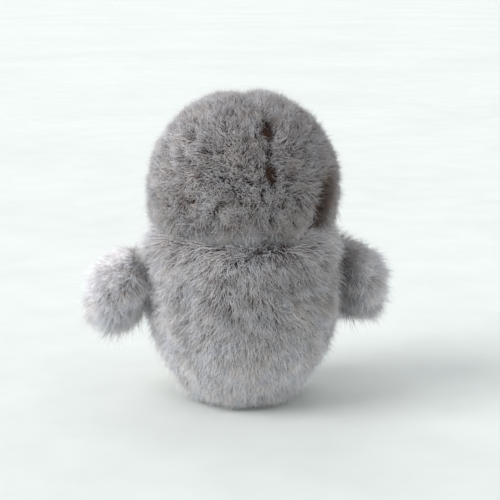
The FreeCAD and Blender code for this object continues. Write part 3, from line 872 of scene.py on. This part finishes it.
def grow_belly_pile(panel):
    """Short pile that falls."""
    roots, normals = scatter(panel, BELLY_STRANDS)
    comb = tangent(0.3 * waves(roots, 12.0) - UP, normals)
    lean, length = 48 + 6 * wave(roots, 8.0), np.full(len(roots), 3.2)
    coat = WHITE_PILE, "torso", "white_pile", "belly_panel"
    grow("belly_pile", roots, normals, comb, lean, length, 0.12, coat, tuft=8.0, pinch=0.45, curl=0.3)


def grow_base_pile(panel):
    """Pile pressed flat under the toy, longer and looser at its rim."""
    roots, normals = scatter(panel, BASE_STRANDS)
    comb = tangent(roots * np.array([[1.0, 1.0, 0]]) / 10.0, normals)
    rim = smooth(roots[:, 2], 1.0, 5.0)
    lean, length = 80 - 25 * rim, 1.4 + 2.2 * rim
    coat = GREY_PILE, "torso", "grey_pile", "base_panel"
    grow("base_pile", roots, normals, comb, lean, length, 0.14, coat, tuft=8.0, pinch=0.4, curl=0.3)


def make_torso():
    """The torso's four panels and their pile."""
    verts, faces = revolve(torso_profile())
    panels = panels_of(verts, faces, [("base", base_sign), ("belly", belly_sign)])
    for side in ("left", "right"):
        make_hide(f"back_hide_{side}", panels[side], (GREY_HIDE, "torso", "grey_pile", f"back_panel_{side}"))
    make_hide("belly_hide", panels["belly"], (WHITE_HIDE, "torso", "white_pile", "belly_panel"))
    make_hide("base_hide", panels["base"], (GREY_HIDE, "torso", "grey_pile", "base_panel"))
    for side in ("left", "right"):
        grow_back_pile(side, panels[side])
    grow_belly_pile(panels["belly"])
    grow_base_pile(panels["base"])


# ---- wings

WING_HALF = np.array([11.0, 13.0, 16.5])
WING_CENTRE = np.array([9.8, 0.0, -8.1])
WING_FLARE = 20.0
WING_FACE = 1.0  # the fabric lies this far out from the shoulder's surface
WING_ROWS, WING_AROUND = 44, 72
# painted light: each wing's pile is lightened, the left one more as the lit side
WING_PAINTED_LIGHT = {"left": 0.5, "right": 0.36}
WING_FLIP = {"left": np.array([1.0, 1.0, 1.0]), "right": np.array([-1.0, 1.0, 1.0])}


def wing_axes():
    """Origin and axes of the left wing's own frame: +X outward along its pin, -Z down it."""
    joint = next(j for j in frame["joints"] if j["name"] == "shoulder_left")
    out = -unit(np.array(joint["axis"], float))
    across = unit(np.cross(UP, out))
    return np.array(joint["pos_m"], float) / MM, np.stack([out, across, np.cross(out, across)], 1)


def wing_skin():
    """Panels of the wing's fabric, in its own frame."""
    latitude = np.linspace(-math.pi / 2, math.pi / 2, WING_ROWS)
    half = WING_HALF - WING_DEPTH
    flare = math.radians(-WING_FLARE)
    angle = np.arange(WING_AROUND) * 2 * math.pi / WING_AROUND
    rows = []
    for lat in latitude[1:-1]:
        rows.append(np.stack([np.cos(lat) * np.cos(angle), np.cos(lat) * np.sin(angle),
                              np.full(WING_AROUND, math.sin(lat))], 1))
    ball = np.concatenate(rows + [[[0, 0, -1.0], [0, 0, 1.0]]])
    ball = ball * half * (1 - np.array([0.3, 0.2, 0.0]) * smooth(ball[:, 2:], -0.2, 1.0))
    turned = np.stack([ball[:, 0] * math.cos(flare) + ball[:, 2] * math.sin(flare), ball[:, 1],
                       -ball[:, 0] * math.sin(flare) + ball[:, 2] * math.cos(flare)], 1)
    verts = turned + WING_CENTRE
    near = WING_FACE + 2.0
    soft = verts[:, 0] < near
    verts[soft, 0] = near - (near - WING_FACE) * np.tanh((near - verts[soft, 0]) / (near - WING_FACE))
    faces = globe_faces(len(rows), WING_AROUND)
    return panels_of(verts, faces, [("inner", lambda point: point[0] - WING_CENTRE[0])])


def grow_wing_pile(side, part, panel):
    """Pile combed from the wing's root to its tip, long and ragged there and short against the body."""
    origin, axes = wing_axes()
    flip = WING_FLIP[side]
    roots, normals = scatter(panel, WING_STRANDS[part])
    local = ((roots * flip) - origin) @ axes
    above = smooth(local[:, 2], -5.0, 6.0)[:, None]
    heading = unit(local * np.array([0.7, 1.0, 1.0])) * (1 - above) + np.array([0.8, 0.0, -0.6]) * above
    from_root = unit(heading) @ axes.T * flip
    comb = tangent(from_root + 0.5 * waves(roots, 8.0) - UP * 0.5, normals)
    inside = smooth(local[:, 0], 2.6, 1.1)
    lean = 36 + 10 * wave(roots, 7.0) + 22 * inside + 26 * above[:, 0]
    ends = smooth(local[:, 2], -8.0, -22.0)
    length = (7.6 + 2.0 * wave(roots, 5.0)) * (1 - 0.45 * inside) * (1 - 0.3 * above[:, 0])
    length = length * (1 + 0.3 * ends * (1 - inside))
    # painted light and shade: the wing's tone adds its painted light, and the right wing's pile darkens near
    # the body as painted shade between wing and body
    shaded = smooth(local[:, 0], 12.0, 6.0) * (side == "right")
    tone = 0.12 * wave(roots, 6.0) + WING_PAINTED_LIGHT[side] - 0.46 * shaded
    coat = GREY_PILE, f"wing_{side}", "grey_pile", f"wing_{part}_panel_{side}"
    grow(f"wing_{part}_pile_{side}", roots, normals, comb, lean, length, STRAND_WIDTH, coat, tuft=12.0,
         pinch=0.6, curl=0.8, spread=0.5, tone=tone)


def make_wings():
    """Both wings' panels and their pile. The right wing is the left one's mirror image."""
    origin, axes = wing_axes()
    panels = wing_skin()
    for side, flip in WING_FLIP.items():
        for part, (points, faces, bend) in (("outer", panels["left"]), ("inner", panels["inner"])):
            placed = (points @ axes.T + origin) * flip
            turned = faces if side == "left" else [face[::-1] for face in faces]
            panel = (placed, turned, bend @ axes.T * flip)
            coat = GREY_HIDE, f"wing_{side}", "grey_pile", f"wing_{part}_panel_{side}"
            make_hide(f"wing_{part}_hide_{side}", panel, coat)
            grow_wing_pile(side, part, panel)


# ---- fill, felt, pouch and thread

def remade(node, name, voxel, look, body, ripple, wavelength, rounds=2, dent=None):
    """A softer copy of a CAD solid: remeshed, smoothed and rippled."""
    made = new_object(name, frame["nodes"][node].data.copy())
    remesh = made.modifiers.new("remesh", "REMESH")
    remesh.mode, remesh.voxel_size = "VOXEL", voxel * MM
    relax = made.modifiers.new("relax", "SMOOTH")
    relax.factor, relax.iterations = 0.5, rounds
    applied(made)
    points, normals = at_vertices(made.data, "co") / MM, at_vertices(made.data, "normal")
    points = points + normals * (waves(points, wavelength, 1) - 1.0) * ripple
    if dent:
        points = points - unit(points - points.mean(0)) * dent(points)[:, None]
    made.data.vertices.foreach_set("co", (points * MM).astype(np.float32).ravel())
    made.data.update()
    return finish_piece(made, body, look, [node])


def make_stuffing():
    """The fill of the four bodies."""
    remade("head_stuffing", "head_fill", 0.9, STUFFING, "head",
           ripple=0.25, wavelength=6.0, dent=head_dents)
    remade("torso_stuffing", "torso_fill", 0.9, STUFFING, "torso",
           ripple=0.25, wavelength=6.0)
    for side in ("left", "right"):
        remade(f"wing_stuffing_{side}", f"wing_fill_{side}", 0.6, STUFFING, f"wing_{side}",
               ripple=0.2, wavelength=4.0)


def fuzz(made, count, body, node):
    """Loose fibres over a felt piece."""
    faces = [list(face.vertices) for face in made.data.polygons]
    panel = at_vertices(made.data, "co") / MM, faces, at_vertices(made.data, "normal")
    roots, normals = scatter(panel, count)
    comb = tangent(DRAW.normal(size=(count, 3)), normals)
    lean, length = np.full(count, 62.0), np.full(count, 0.8)
    grow(made.name + "_fibres", roots, normals, comb, lean, length, 0.028, (FELT, body, "felt", node),
         tuft=2.0, pinch=0.0, curl=0.25, spread=1.0)


def outline_of(node):
    """Corners of a flat slab's top face in order, in millimetres."""
    edit = bmesh.new()
    edit.from_mesh(frame["nodes"][node].data)
    bmesh.ops.remove_doubles(edit, verts=edit.verts, dist=1e-6)
    bmesh.ops.dissolve_limit(edit, angle_limit=0.02, verts=edit.verts, edges=edit.edges)
    edit.normal_update()
    top = max((face for face in edit.faces if face.normal.z > 0.99), key=lambda face: face.calc_area())
    corners = np.array([vert.co for vert in top.verts]) / MM
    edit.free()
    return corners


def evenly(corners, spacing):
    """Points at even spacing along a closed outline, with the outward and forward directions at each."""
    closed = np.concatenate([corners, corners[:1]])
    length = np.concatenate([[0], np.cumsum(np.linalg.norm(np.diff(closed, axis=0), axis=1))])
    at = np.arange(0, length[-1] - spacing / 2, spacing)

    def point_at(where):
        return np.stack([np.interp(where % length[-1], length, closed[:, k]) for k in range(3)], 1)

    along = unit(point_at(at + 0.4) - point_at(at - 0.4))
    return point_at(at), np.cross(along, UP), along


def tube(path, radius, sides=6):
    """Points and faces of a closed tube along a path."""
    along = unit(np.gradient(path, axis=0))
    side = unit(np.cross(along, np.array([0.31, 0.2, 0.93])))
    other = np.cross(along, side)
    verts = [place + radius * (u * math.cos(turn) + v * math.sin(turn))
             for place, u, v in zip(path, side, other) for turn in np.arange(sides) * 2 * math.pi / sides]
    faces = [tuple(range(sides))[::-1], tuple(range(len(verts) - sides, len(verts)))]
    for ring in range(len(path) - 1):
        for k in range(sides):
            a, b = ring * sides + k, ring * sides + (k + 1) % sides
            faces.append((a, b, b + sides, a + sides))
    return verts, faces


STITCHES_START = -16.0  # a foot is stitched in front of this, where the torso's pile leaves it bare


def make_stitches(side):
    """Slanted whip stitches over the edge of a foot, from its sole to its upper."""
    places, out, along = evenly(outline_of(f"foot_sole_{side}"), 2.1)
    top = box_mm(f"foot_upper_{side}")[1][2]
    verts, faces = [], []
    for place, outward, forward in zip(places, out, along):
        if place[1] > STITCHES_START:
            continue
        steps = np.linspace(0, 1, 7)
        rise = 0.35 + (top + 0.12 - 0.35) * np.sin(steps * math.pi / 2) ** 0.8
        bulge = 0.16 - 1.3 * smooth(steps, 0.72, 1.0)
        path = np.stack([place[0] + 0 * steps, place[1] + 0 * steps, rise], 1)
        path += outward * bulge[:, None] + forward * (0.8 * steps)[:, None]
        points, panels = tube(path, 0.17)
        faces += [tuple(corner + len(verts) for corner in face) for face in panels]
        verts += points
    made = new_object(f"foot_stitches_{side}", mesh_of(f"foot_stitches_{side}", verts, faces))
    finish_piece(made, "torso", FELT_THREAD)


def make_felt():
    """The beak and the feet, with their fibres and stitches."""
    for part in ("upper", "lower"):
        node = f"beak_{part}"
        felt = remade(node, f"beak_felt_{part}", 0.3, FELT, "head", ripple=0.06, wavelength=1.2)
        fuzz(felt, BEAK_FIBRES, "head", node)
    for side in ("left", "right"):
        for part, count in FOOT_FIBRES.items():
            node = f"foot_{part}_{side}"
            felt = remade(node, f"foot_felt_{part}_{side}", 0.3, FELT, "torso",
                          rounds=1, ripple=0.05, wavelength=1.2)
            fuzz(felt, count, "torso", node)
        make_stitches(side)


def make_pouch():
    """The ballast's cotton bag: creased, with a seam standing out round its middle."""
    low, high = box_mm("ballast_pouch")
    centre, half = (low + high) / 2, (high - low) / 2
    latitude = np.linspace(-math.pi / 2, math.pi / 2, 45)
    profile = np.stack([half[0] * np.cos(latitude) ** 0.8, half[2] * np.sin(latitude)], 1)
    profile[:, 0] = np.minimum(profile[:, 0], half[0] - 0.35)
    profile[[0, -1], 0] = 0.0
    verts, faces = revolve(profile)
    crease = wave(verts, 9.0)
    gathers = np.cos(30 * np.arctan2(verts[:, 1], verts[:, 0])) * smooth(np.abs(verts[:, 2]), 4.0, 0.5)
    verts = verts * (1 - 0.012 * (1 + crease)[:, None] - 0.006 * (1 + gathers)[:, None])
    seam = np.abs(verts[:, 2]) < 0.3
    verts[seam, :2] *= 1.014
    made = new_object("ballast_bag", mesh_of("ballast_bag", verts + centre, faces))
    thickened(made, 0.35)
    finish_piece(made, "torso", COTTON, ["ballast_pouch"])


KEPT_LOOKS = {
    "disc": FIBREBOARD, "washer": STEEL, "pin": STEEL, "thread": THREAD, "stitches": THREAD, "insole": CARD,
    "shot": STEEL, "eye_washer": GREY_PLASTIC, "eye_left": BLACK_PLASTIC, "eye_right": BLACK_PLASTIC,
}


def dress_kept_nodes():
    """Materials for the CAD nodes that stay as they are."""
    for name, made in frame["nodes"].items():
        if made.hide_render:
            continue
        matches = [key for key in KEPT_LOOKS if key in name]
        look = KEPT_LOOKS[max(matches, key=len)]
        made.data.materials.clear()
        made.data.materials.append(look)


set_stage()
make_head()
make_torso()
make_wings()
make_stuffing()
make_felt()
make_pouch()
dress_kept_nodes()
bpy.context.view_layer.update()
